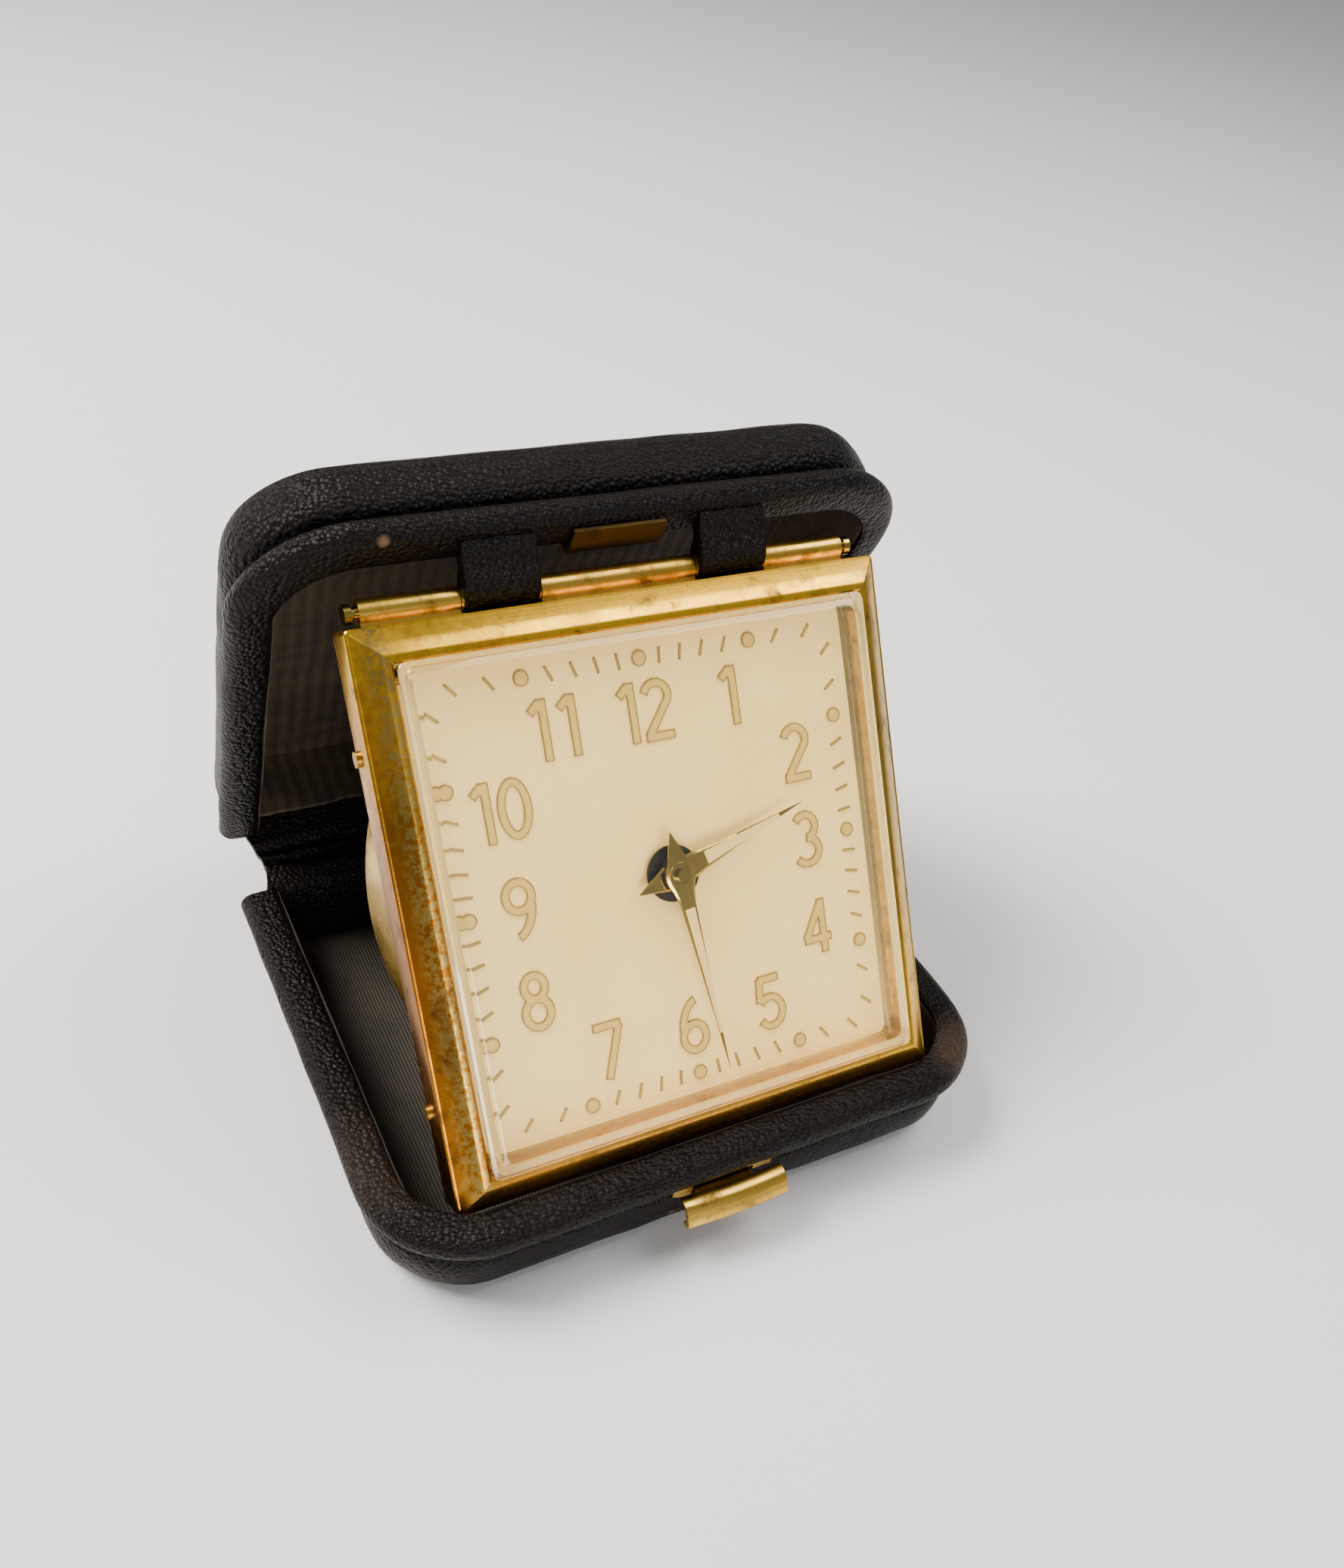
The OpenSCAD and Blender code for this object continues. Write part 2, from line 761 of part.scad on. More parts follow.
module barrel(at, phase) {
    gear(6.3, 7.1, t_barrel, mod_barrel, at, phase, wind_r + run_gap);
    disc(7.1, 10.9, 10, at, 9.5);
    disc(10.9, 11.3, 10, at, wind_r + run_gap);
}

module mainspring(at) {
    layer(7.3, 10.7) translate(at) polygon(thick(spiral(2.6, 9.2, 7, 20), 0.35));
}

module wind_arbor(at) {
    disc(5.3, drum_back + 0.3, wind_r, at);
    gear(14.5, 15, 24, 0.32, at, 0, wind_r - e);
}

// A winding key: a hub on the arbor with a slot for its folding wing
module wind_key(at) {
    layer(drum_back + 0.3, drum_back + key_h) translate(at) difference() {
        circle(2.6);
        translate([-1.2, -4]) square([2.4, 8]);
    }
    disc(drum_back + 0.3, drum_back + 1, 2.6, at);
}

// The wing lies flat at rest and turns up about its round root in the hub's slot
module key_wing(at) {
    mid = drum_back + 1.65;
    root = 0.45;
    in_head() translate([at[0] - 1, mid, at[1]]) rotate([0, 90, 0]) cylinder(r = root, h = 2);
    layer(mid - root, mid + root) translate(at) difference() {
        union() {
            translate([-1, 0]) square([2, 3.2]);
            translate([0, 5.2]) circle(3);
        }
        translate([0, 5.3]) circle(1.5);
    }
}

module time_barrel() {
    color("#c2a04a") barrel(at_barrel, a_barrel + 180 + 180 / t_barrel);
}

module time_mainspring() {
    color("#6a727c") mainspring(at_barrel);
}

module time_arbor() {
    color("#8d8d8d") wind_arbor(at_barrel);
}

module time_key() {
    color("#b8923f") wind_key(at_barrel);
}

module time_key_wing() {
    color("#b8923f") key_wing(at_barrel);
}

module alarm_barrel() {
    color("#c2a04a") barrel(at_alarm, 0);
}

module alarm_mainspring() {
    color("#6a727c") mainspring(at_alarm);
}

module alarm_arbor() {
    color("#8d8d8d") wind_arbor(at_alarm);
}

module alarm_key() {
    color("#b8923f") wind_key(at_alarm);
}

module alarm_key_wing() {
    color("#b8923f") key_wing(at_alarm);
}

module alarm_hammer() {
    head = [-19.5, 19];
    color("#8d8d8d") {
        layer(9, 9.8) polygon(thick([at_hammer, head], 1));
        disc(8.4, 10.4, 1.4, head);
        disc(8.7, 10.1, 0.9, at_hammer);
        train_arbor(at_hammer);
    }
}

module stop_lever() {
    color("#b8923f") {
        disc(14.6, drum_back + 0.3, arbor_r, at_lever);
        layer(drum_back + 0.3, drum_back + 1.1) translate(at_lever) {
            circle(1.4);
            polygon(thick([[0, 0], [6.4, 0]], 1.6));
        }
    }
}

module regulator() {
    color("#c8b070") layer(14.4, 14.9) translate(at_balance) difference() {
        union() {
            circle(1.6);
            polygon(thick([polar(1.3, 60), polar(6.5, 60)], 0.9));
        }
        circle(pivot_r + 0.3);
    }
}

// ------------------------------------------------------------------ nodes

base_shell();
base_rim();
base_lining();
clasp_plate();
clasp_button();
spine_leather();
lid_shell();
lid_rim();
lid_lining();
lid_tabs();
lid_knuckles();
hinge_pin();
catch_plate();
bezel();
crystal();
dial();
dial_numerals();
dial_dots();
dial_ticks();
head_knuckles();
side_studs();
back_frame();
front_plate();
back_plate();
pillars();
back_cover();
cover_screws();
minute_hand();
centre_arbor();
cannon_pinion();
centre_pinion();
centre_wheel();
time_set_knob();
hour_wheel();
hour_hand();
minute_wheel();
alarm_wheel();
alarm_disc();
alarm_set_pinion();
alarm_set_knob();
third_wheel();
fourth_wheel();
escape_wheel();
pallet_fork();
balance_wheel();
hairspring();
time_barrel();
time_mainspring();
time_arbor();
time_key();
time_key_wing();
alarm_barrel();
alarm_mainspring();
alarm_arbor();
alarm_key();
alarm_key_wing();
alarm_hammer();
stop_lever();
regulator();
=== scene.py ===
import json
import math

import bmesh
import bpy
from mathutils import Matrix, Vector, noise


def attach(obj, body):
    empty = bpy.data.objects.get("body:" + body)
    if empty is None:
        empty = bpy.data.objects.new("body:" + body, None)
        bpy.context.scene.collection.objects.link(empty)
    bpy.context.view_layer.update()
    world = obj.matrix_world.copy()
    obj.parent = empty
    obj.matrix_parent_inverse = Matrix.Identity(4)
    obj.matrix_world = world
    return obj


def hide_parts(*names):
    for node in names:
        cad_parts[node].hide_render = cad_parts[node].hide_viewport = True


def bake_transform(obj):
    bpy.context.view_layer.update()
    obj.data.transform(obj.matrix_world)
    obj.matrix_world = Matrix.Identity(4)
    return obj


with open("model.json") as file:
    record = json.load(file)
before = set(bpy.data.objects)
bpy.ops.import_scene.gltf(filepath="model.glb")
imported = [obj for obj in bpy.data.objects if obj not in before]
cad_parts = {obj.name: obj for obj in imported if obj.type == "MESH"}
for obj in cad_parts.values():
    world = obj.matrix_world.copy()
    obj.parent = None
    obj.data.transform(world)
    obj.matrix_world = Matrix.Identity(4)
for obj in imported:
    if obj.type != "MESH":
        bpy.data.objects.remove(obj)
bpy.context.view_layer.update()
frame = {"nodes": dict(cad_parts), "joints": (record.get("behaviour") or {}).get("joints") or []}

# ------------------------------------------------------------ driving sizes
# Sizes are in millimetres, but in metres in the materials, the lamps and the floor
MM = 0.001
joints = {j["name"]: j for j in frame["joints"]}

# The two half cases, as trays lying on their floors
CASE_W, CASE_D, CASE_H = 85.3, 63.0, 13.0
CORNER_R = 13.5
HALF_W = CASE_W / 2
WALL_IN = -4.9          # the hollow's wall, from the outline
HOLLOW_EASE = 1.04      # how far the hollow's tighter corners stand out
PANEL_IN = -6.1         # the outside panel's edge, from the outline
FLOOR_TOP = 0.9         # the hollow's floor
GROOVE_Z = 9.2          # the groove between the padded body and the rim
PATH_STEP, CORNER_STEPS = 1.6, 14

# Where the halves stand: the base's hinge edge, the lid's hinge edge, its lean in radians
BASE_BACK = CASE_D / 2
LID_Y, LID_Z, LID_LEAN = 40.36, 15.27, math.radians(23.13)

# The clock head: its axis comes from the minute hand's joint, 10 mm behind the bezel's edge
JOINT_D = 10
AXIS = Vector(joints["minute_spin"]["axis"]).normalized()
UP = AXIS.cross(Vector((1, 0, 0))) * -1
HEAD_0 = Vector(joints["minute_spin"]["pos_m"]) - AXIS * JOINT_D * MM
PIN = Vector(joints["clock_fold"]["pos_m"])
HEAD_W, HEAD_H, HEAD_R = 66.0, 65.8, 0.6
CHAMFER_W, CHAMFER_H, BAND_D = 3.2, 2.05, 5.0
GLASS = 57.9            # the crystal's side
MINUTES = 28.9          # the time shown is this many minutes past two
HOUR_ANGLE = 60 + MINUTES / 2
STRAP_X, STRAP_HALF = 14.45, 4.35


def head(x, d, v):
    """A place on the clock: across, behind the bezel's edge plane, and up the dial."""
    return HEAD_0 + Vector((x, 0, 0)) * MM + AXIS * d * MM + UP * v * MM


def base(x, y, z):
    """A place in the base: across, behind its hinge edge, and up from its floor."""
    return Vector((x, y + BASE_BACK, z)) * MM


def lid_local(x, y, z):
    """A place in the lid's upright frame: its rim plane is y = 0, its hinge edge z = 0."""
    c, s = math.cos(LID_LEAN), math.sin(LID_LEAN)
    return Vector((x, LID_Y + y * c - z * s, LID_Z + y * s + z * c)) * MM


def lid(x, y, z):
    """A place in the lid, counted as if it lay on its floor like the base."""
    return lid_local(-x, CASE_H - z, -y)


# ------------------------------------------------------------ node materials
class Nodes:
    """A short way to write a material's node tree."""

    def __init__(self, name):
        self.mat = bpy.data.materials.new(name)
        self.mat.use_nodes = True
        self.tree = self.mat.node_tree
        self.bsdf = self.tree.nodes["Principled BSDF"]
        self.where = self.add("ShaderNodeTexCoord").outputs["Object"]

    def add(self, kind, **inputs):
        node = self.tree.nodes.new(kind)
        for key, value in inputs.items():
            self.put(node.inputs[key.replace("_", " ")], value)
        return node

    def put(self, socket, value):
        if isinstance(value, bpy.types.NodeSocket):
            self.tree.links.new(value, socket)
        else:
            socket.default_value = value

    def set(self, **inputs):
        for key, value in inputs.items():
            self.put(self.bsdf.inputs[key.replace("_", " ")], value)

    def noise(self, scale, detail=3.0, rough=0.5, distortion=0.0, where=None):
        node = self.add("ShaderNodeTexNoise", Vector=where or self.where, Scale=scale,
                        Detail=detail, Roughness=rough, Distortion=distortion)
        return node.outputs["Fac"]

    def cells(self, scale):
        node = self.add("ShaderNodeTexVoronoi", Vector=self.where, Scale=scale)
        return node.outputs["Distance"]

    def ramp(self, fac, *stops):
        node = self.add("ShaderNodeValToRGB", Fac=fac)
        ends = node.color_ramp.elements
        while len(ends) < len(stops):
            ends.new(0.5)
        for end, (at, colour) in zip(ends, stops):
            end.position = at
            end.color = grey(colour) if isinstance(colour, (int, float)) else colour
        return node.outputs["Color"]

    def math(self, op, a, b=0.0, c=0.0):
        node = self.tree.nodes.new("ShaderNodeMath")
        node.operation = op
        for socket, value in zip(node.inputs, (a, b, c)):
            self.put(socket, value)
        return node.outputs[0]

    def mix(self, fac, a, b):
        """A colour between a and b; the Mix node keeps its colour sockets at 6, 7 and 2."""
        node = self.tree.nodes.new("ShaderNodeMix")
        node.data_type = "RGBA"
        self.put(node.inputs[0], fac)
        self.put(node.inputs[6], a)
        self.put(node.inputs[7], b)
        return node.outputs[2]

    def vector(self, op, a, b):
        node = self.tree.nodes.new("ShaderNodeVectorMath")
        node.operation = op
        self.put(node.inputs[0], a)
        self.put(node.inputs[1], b)
        return node.outputs["Value"]

    def near(self, place, radius):
        """1 at a place on the surface, fading to 0 at the radius, broken up by noise."""
        soft = 0.6
        distance = self.vector("DISTANCE", self.where, place)
        ragged = self.math("MULTIPLY", self.noise(900.0, 4.0), radius * soft)
        away = self.math("ADD", distance, ragged)
        scaled = self.math("DIVIDE", away, radius * (1 + soft / 2))
        return self.ramp(scaled, (0.55, 1.0), (0.95, 0.0))

    def bump(self, height, distance, strength=1.0, normal=None):
        node = self.add("ShaderNodeBump", Height=height, Distance=distance,
                        Strength=strength)
        if normal is not None:
            self.put(node.inputs["Normal"], normal)
        return node.outputs["Normal"]


def grey(v):
    return (v, v, v, 1.0)


def rgb(r, g, b):
    return (r, g, b, 1.0)


def leather(name, dark, worn, spots=()):
    """Pebbled black leather: rounded grains, finer creases and rubbed places."""
    n = Nodes(name)
    grain, depth = 1700.0, 0.00026
    pebble = n.cells(grain)
    fine = n.noise(grain * 2.6, 4.0)
    hollows = n.noise(90.0, 3.0)
    rub = n.ramp(n.noise(60.0, 5.0, 0.65), (0.5, 0.0), (0.72, 1.0))
    high = n.ramp(pebble, (0.05, 1.0), (0.45, 0.0))
    worn_mask = n.math("MULTIPLY", rub, high)
    colour = n.mix(worn_mask, dark, worn)
    for place, radius, tint in spots:
        colour = n.mix(n.near(place, radius), colour, tint)
    n.set(Base_Color=colour, Specular_IOR_Level=0.11)
    n.set(Roughness=n.ramp(n.math("ADD", n.math("MULTIPLY", rub, 0.5), fine),
                           (0.2, 0.3), (1.1, 0.55)))
    height = n.math("ADD", n.math("MULTIPLY", pebble, -1.0), n.math("MULTIPLY", fine, 0.25))
    padding = n.bump(hollows, 0.0007, 0.6)
    n.set(Normal=n.bump(height, depth, 1.0, padding))
    return n.mat


def metal(name, light, dark, stain, rough=(0.22, 0.5), spot_scale=260.0, brushed=0.0,
          stain_at=(0.5, 0.72), painted_shade_and_tints=(), patina=None):
    """Old metal: a lacquer colour, mottled patches, dark specks and fine scratches, with listed
    places tinted; on the bezel these tints are painted shade on its sides.
    """
    n = Nodes(name)
    cloud = n.noise(70.0, 5.0, 0.6, 0.4)
    speck = n.noise(spot_scale * 4, 6.0, 0.7)
    patch = n.ramp(n.noise(spot_scale, 6.0, 0.68), (stain_at[0], 0.0), (stain_at[1], 1.0))
    colour = n.mix(n.ramp(cloud, (0.35, 0.0), (0.65, 1.0)), light, dark)
    # Each listed place pulls the colour towards its own; the bezel's three are painted shade on
    # its left, bottom and right sides.
    for place, radius, tint in painted_shade_and_tints:
        colour = n.mix(n.math("MULTIPLY", n.near(place, radius), 0.85), colour, tint)
    if patina:
        colour = patina(n, colour)
    colour = n.mix(patch, colour, stain)
    colour = n.mix(n.ramp(speck, (0.64, 0.0), (0.74, 0.8)), colour, stain)
    n.set(Base_Color=colour, Metallic=1.0)
    n.set(Roughness=n.ramp(n.math("ADD", n.math("MULTIPLY", patch, 0.5), cloud),
                           (0.3, rough[0]), (1.1, rough[1])))
    stretched = n.add("ShaderNodeMapping", Vector=n.where)
    stretched.inputs["Scale"].default_value = (0.06, 1.0, 1.0)
    lines = n.noise(2600.0, 2.0, where=stretched.outputs["Vector"])
    scratch = n.bump(lines, 0.00002, 0.25 + brushed)
    n.set(Normal=n.bump(speck, 0.00003, 0.35, scratch))
    return n.mat


def left_patina(n, colour):
    """Fine pale speckles along the inner half of the bezel's left side."""
    width = 5.0
    across = n.add("ShaderNodeSeparateXYZ", Vector=n.where).outputs["X"]
    scaled = n.math("MULTIPLY_ADD", across, 1 / (width * MM), HEAD_W / 2 / width)
    inner = n.ramp(scaled, (0.15, 0.0), (0.45, 1.0), (0.72, 1.0), (0.85, 0.0))
    speckle = n.ramp(n.noise(1300.0, 7.0, 0.75), (0.46, 0.0), (0.52, 1.0))
    return n.mix(n.math("MULTIPLY", inner, speckle), colour, rgb(0.40, 0.26, 0.065))


def cloth(name, light, dark, rib, across, soil):
    """Watered lining cloth: fine ribs whose sheen wanders in moire bands."""
    n = Nodes(name)
    scaled = n.add("ShaderNodeMapping", Vector=n.where)
    scaled.inputs["Scale"].default_value = across
    place = scaled.outputs["Vector"]
    wave = n.add("ShaderNodeTexWave", Vector=place, Scale=rib, Distortion=1.2,
                 Detail=2.0, Detail_Scale=0.8)
    water = n.noise(110.0, 4.0, 0.55, 2.2, where=place)
    weave = n.noise(5200.0, 2.0)
    tone = n.math("ADD", n.math("MULTIPLY", wave.outputs["Fac"], 0.25), water)
    colour = n.mix(n.ramp(tone, (0.45, 0.0), (0.85, 1.0)), dark, light)
    dirt = n.ramp(n.noise(45.0, 5.0, 0.6), (0.45, 0.0), (0.75, soil))
    colour = n.mix(dirt, colour, rgb(0.06, 0.04, 0.025))
    n.set(Base_Color=colour, Roughness=0.72, Sheen_Weight=0.12, Sheen_Roughness=0.4)
    ribs = n.bump(wave.outputs["Fac"], 0.00012, 0.8)
    n.set(Normal=n.bump(weave, 0.00008, 0.5, ribs))
    return n.mat


def dial_paint():
    """Cream paint with faint clouds and foxing."""
    n = Nodes("dial_paint")
    cloud = n.noise(55.0, 5.0, 0.6)
    grain = n.noise(4200.0, 3.0)
    colour = n.mix(n.ramp(cloud, (0.35, 0.0), (0.7, 1.0)), rgb(0.93, 0.65, 0.20),
                   rgb(0.86, 0.575, 0.155))
    foxing = n.ramp(n.noise(600.0, 6.0, 0.7), (0.68, 0.0), (0.78, 0.4))
    colour = n.mix(foxing, colour, rgb(0.42, 0.3, 0.16))
    n.set(Base_Color=colour, Roughness=0.55)
    n.set(Normal=n.bump(grain, 0.00003, 0.4))
    return n.mat


def acrylic():
    """Clear acrylic with a slight haze."""
    n = Nodes("acrylic")
    haze = n.noise(700.0, 4.0)
    n.set(Base_Color=rgb(0.98, 0.985, 0.97), Transmission_Weight=1.0, IOR=1.49,
          Specular_IOR_Level=0.5)
    n.set(Roughness=n.ramp(haze, (0.35, 0.0), (0.8, 0.05)))
    return n.mat


def raised_gilt():
    """Gilt figures: pale gold tops, with near-black painted shade on their rounded edges."""
    n = Nodes("raised_gilt")
    soft = n.add("ShaderNodeBevel", Radius=0.00036).outputs["Normal"]
    flat = n.add("ShaderNodeNewGeometry").outputs["True Normal"]
    # Painted shade: near black where the bevelled normal leans away from the face's own, on the
    # figures' edges and flanks.
    edge = n.ramp(n.vector("DOT_PRODUCT", soft, flat), (0.965, 1.0), (0.9995, 0.0))
    gold = n.mix(n.noise(1500.0), rgb(0.80, 0.53, 0.11), rgb(0.64, 0.40, 0.07))
    n.set(Base_Color=n.mix(edge, gold, rgb(0.018, 0.012, 0.002)), Metallic=0.3,
          Roughness=0.32, Normal=soft)
    return n.mat


def plain_paint(name, colour, rough):
    n = Nodes(name)
    n.set(Base_Color=n.mix(n.noise(900.0), colour, rgb(*(v * 0.85 for v in colour[:3]))),
          Roughness=rough)
    return n.mat


def floor_paper():
    n = Nodes("floor_paper")
    n.set(Base_Color=n.mix(n.noise(6.0), rgb(0.80, 0.79, 0.77), rgb(0.84, 0.83, 0.81)),
          Roughness=0.85)
    return n.mat


BLACK = rgb(0.0034, 0.0024, 0.0017)
RUBBED = rgb(0.02, 0.012, 0.007)
TAN = rgb(0.15, 0.09, 0.05)
lid_spots = [
    (lid_local(-27, 0.5, CASE_D - 1.0), 0.0009, TAN),
    (lid_local(HALF_W - 3, 0, CASE_D - 5), 0.004, RUBBED),
]
base_spots = [
    (base(HALF_W - 4.5, -CASE_D + 5, CASE_H - 1), 0.007, rgb(0.035, 0.022, 0.014)),
    (base(HALF_W - 4, -CASE_D + 4.5, 2.0), 0.007, RUBBED),
    (base(-HALF_W + 4, -CASE_D + 4, 2.0), 0.005, RUBBED),
    (base(-HALF_W + 1.5, -CASE_D + 16, CASE_H - 1), 0.010, rgb(0.014, 0.009, 0.006)),
]
LEATHER_BASE = leather("leather_base", BLACK, RUBBED, base_spots)
LEATHER_LID = leather("leather_lid", BLACK, RUBBED, lid_spots)
LEATHER_SPINE = leather("leather_spine", rgb(0.006, 0.0045, 0.0035), rgb(0.035, 0.021, 0.013))
LINING_BASE = cloth("lining_base", rgb(0.032, 0.024, 0.010), rgb(0.012, 0.009, 0.004),
                    rib=700.0, across=(1.0, 0.3, 1.0), soil=0.6)
LINING_LID = cloth("lining_lid", rgb(0.07, 0.046, 0.023), rgb(0.024, 0.0155, 0.008),
                   rib=620.0, across=(0.25, 1.0, 1.0), soil=0.35)
# The bezel's three tinted places are painted shade: its left side darkened to deep orange brown,
# its bottom to a darker orange and its right side to a duller gold.
BEZEL_BRASS = metal(
    "bezel_brass", rgb(0.90, 0.51, 0.03), rgb(0.62, 0.32, 0.02), rgb(0.085, 0.036, 0.01),
    rough=(0.2, 0.46), stain_at=(0.52, 0.72),
    painted_shade_and_tints=[(head(-33, 2, -8), 0.046, rgb(0.24, 0.06, 0.004)),
           (head(0, 0, -33), 0.034, rgb(0.62, 0.28, 0.035)),
           (head(33, -1, 6), 0.03, rgb(0.45, 0.28, 0.06))], patina=left_patina)
BRASS = metal("brass", rgb(0.72, 0.45, 0.07), rgb(0.47, 0.27, 0.04), rgb(0.08, 0.04, 0.012))
CATCH = metal("catch_brass", rgb(0.11, 0.067, 0.02), rgb(0.06, 0.036, 0.012),
              rgb(0.03, 0.018, 0.008), rough=(0.35, 0.6))
PLATE_BRASS = metal("plate_brass", rgb(0.76, 0.54, 0.2), rgb(0.64, 0.42, 0.13),
                    rgb(0.2, 0.12, 0.05), rough=(0.25, 0.4), brushed=0.3, stain_at=(0.66, 0.8))
GILT = raised_gilt()
INLAY = plain_paint("inlay", rgb(0.78, 0.52, 0.16), 0.4)
HAND_GILT = metal("hand_gilt", rgb(0.52, 0.38, 0.08), rgb(0.34, 0.24, 0.045),
                  rgb(0.10, 0.065, 0.018), rough=(0.14, 0.3), stain_at=(0.64, 0.82))
STEEL = metal("steel", rgb(0.62, 0.62, 0.61), rgb(0.48, 0.48, 0.47), rgb(0.2, 0.17, 0.14),
              rough=(0.2, 0.38), brushed=0.3, stain_at=(0.7, 0.85))
BLUE_STEEL = metal("blue_steel", rgb(0.12, 0.2, 0.42), rgb(0.08, 0.12, 0.26),
                   rgb(0.05, 0.05, 0.08), rough=(0.2, 0.35))
DARK = metal("dark_disc", rgb(0.085, 0.075, 0.06), rgb(0.04, 0.034, 0.026),
             rgb(0.02, 0.015, 0.01), rough=(0.25, 0.5),
             painted_shade_and_tints=[(head(0, 0.7, 0), 0.0023, rgb(0.45, 0.28, 0.09))])
DIAL = dial_paint()
ACRYLIC = acrylic()


# ------------------------------------------------------------- mesh builders
WELD_M = 1e-6           # vertices this near to each other, in metres, become one


def add_object(name, data):
    """A new object in the scene."""
    obj = bpy.data.objects.new(name, data)
    bpy.context.scene.collection.objects.link(obj)
    return obj


def piece(name, shape, mat, body, stands_for=(), sharp=38.0):
    """A mesh object on a body, with outward faces and edges sharp past an angle."""
    verts, faces = shape
    mesh = bpy.data.meshes.new(name)
    mesh.from_pydata([tuple(v) for v in verts], [], faces)
    bm = bmesh.new()
    bm.from_mesh(mesh)
    bmesh.ops.remove_doubles(bm, verts=bm.verts, dist=WELD_M)
    bmesh.ops.recalc_face_normals(bm, faces=bm.faces)
    bm.to_mesh(mesh)
    bm.free()
    mesh.polygons.foreach_set("use_smooth", [True] * len(mesh.polygons))
    mesh.set_sharp_from_angle(angle=math.radians(sharp))
    mesh.materials.append(mat)
    obj = add_object(name, mesh)
    if body:
        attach(obj, body)
    if stands_for:
        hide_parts(*stands_for)
    return obj


def ring_quads(a, b, size):
    """Quads between two closed rings of vertices that start at indices a and b."""
    return [(a + j, a + (j + 1) % size, b + (j + 1) % size, b + j) for j in range(size)]


def loft(loops, closed_path=False):
    """Quads between closed loops of equal length, with end caps on an open path."""
    verts = [p for loop in loops for p in loop]
    size = len(loops[0])
    rows = len(loops) if closed_path else len(loops) - 1
    faces = []
    for i in range(rows):
        faces += ring_quads(i * size, (i + 1) % len(loops) * size, size)
    if not closed_path:
        faces.append(tuple(range(size))[::-1])
        faces.append(tuple((len(loops) - 1) * size + j for j in range(size)))
    return verts, faces


def joined(*parts):
    """One list of vertices and faces from several."""
    verts, faces = [], []
    for v, f in parts:
        k = len(verts)
        verts += v
        faces += [tuple(i + k for i in face) for face in f]
    return verts, faces


def arc2(cx, cy, r, a0, a1, n):
    """Points on an arc from a0 to a1, in n steps."""
    return [(cx + r * math.cos(math.radians(a0 + (a1 - a0) * i / n)),
             cy + r * math.sin(math.radians(a0 + (a1 - a0) * i / n))) for i in range(n + 1)]


def eased(o, nx, ny):
    """An offset from the outline, let out where the hollow's corners are tighter."""
    return o + HOLLOW_EASE * (2 * nx * ny) ** 2 if o <= WALL_IN + 0.05 else o


def tray_corner(cx, cy, turn):
    """The path round one front corner, from an angle in radians a quarter turn on."""
    path = []
    for i in range(CORNER_STEPS):
        a = turn - math.pi / 2 * i / CORNER_STEPS
        n = (math.cos(a), math.sin(a))
        path.append(((cx + CORNER_R * n[0], cy + CORNER_R * n[1]), n))
    return path


def tray_path():
    """Places and outward normals along the walls of a half case, hinge edge at y = 0."""
    side = CASE_D - CORNER_R
    front = CASE_W - 2 * CORNER_R
    n_side, n_front = int(side / PATH_STEP), int(front / PATH_STEP)
    path = [((HALF_W, -side * i / n_side), (1, 0)) for i in range(n_side)]
    path += tray_corner(HALF_W - CORNER_R, -side, 0.0)
    path += [((HALF_W - CORNER_R - front * i / n_front, -CASE_D), (0, -1))
             for i in range(n_front)]
    path += tray_corner(-HALF_W + CORNER_R, -side, -math.pi / 2)
    path += [((-HALF_W, -side + side * i / n_side), (-1, 0)) for i in range(n_side + 1)]
    return path


def tray_sweep(place, profile, wobble, seed):
    """The walls: a profile of (outward, up) points carried round the tray's path."""
    loops = []
    for (px, py), (nx, ny) in tray_path():
        loop = []
        for o, z in profile:
            o = eased(o, nx, ny)
            where = Vector((px * 0.16 + seed, py * 0.16, z * 0.3 + o * 0.2))
            o = o + wobble * noise.noise(where)
            z = z + 0.4 * wobble * noise.noise(where + Vector((7, 3, 1)))
            loop.append(place(px + nx * o, py + ny * o, z))
        loops.append(loop)
    return loft(loops)


def slab(place, inset, low, high, rings=9):
    """A flat closed pad with the tray's outline; low and high give its two surfaces."""
    outline = [(px + nx * eased(inset, nx, ny), py + ny * eased(inset, nx, ny))
               for (px, py), (nx, ny) in tray_path()]
    outline = [(x, min(y, 0.0)) for x, y in outline]
    n_back = 24
    x0, x1 = outline[-1][0], outline[0][0]
    outline += [(x0 + (x1 - x0) * i / n_back, 0.0) for i in range(1, n_back)]
    mid_y = -CASE_D / 2
    scales = [math.sin(math.pi / 2 * k / rings) for k in range(rings + 1)]
    verts, faces = [], []
    size = len(outline)
    order = [(s, low) for s in scales[1:]] + [(s, high) for s in scales[:0:-1]]
    for s, surface in order:
        for x, y in outline:
            qx, qy = x * s, mid_y + (y - mid_y) * s
            verts.append(place(qx, qy, surface(qx, qy, s)))
    for i in range(len(order) - 1):
        faces += ring_quads(i * size, (i + 1) * size, size)
    for row, surface in ((0, low), (len(order) - 1, high)):
        centre = len(verts)
        verts.append(place(0, mid_y, surface(0, mid_y, 0)))
        faces += [(row * size + j, row * size + (j + 1) % size, centre) for j in range(size)]
    return verts, faces


# --------------------------------------------------------- leather half cases
SOFT_EDGE = 60.0        # leather and cloth shade smooth up to this angle


def rim_profile():
    """The rolled rim: flat on top and round outside, undercut down to the groove."""
    roll = arc2(-1.75, 11.2, 1.75, 82, -58, 10)
    inside = [(WALL_IN, GROOVE_Z), (WALL_IN, 12.5), (WALL_IN + 0.25, 12.85),
              (WALL_IN + 0.8, CASE_H), (-3.0, CASE_H + 0.02)]
    return inside + roll + [(-1.9, 9.6), (-3.3, 9.3)]


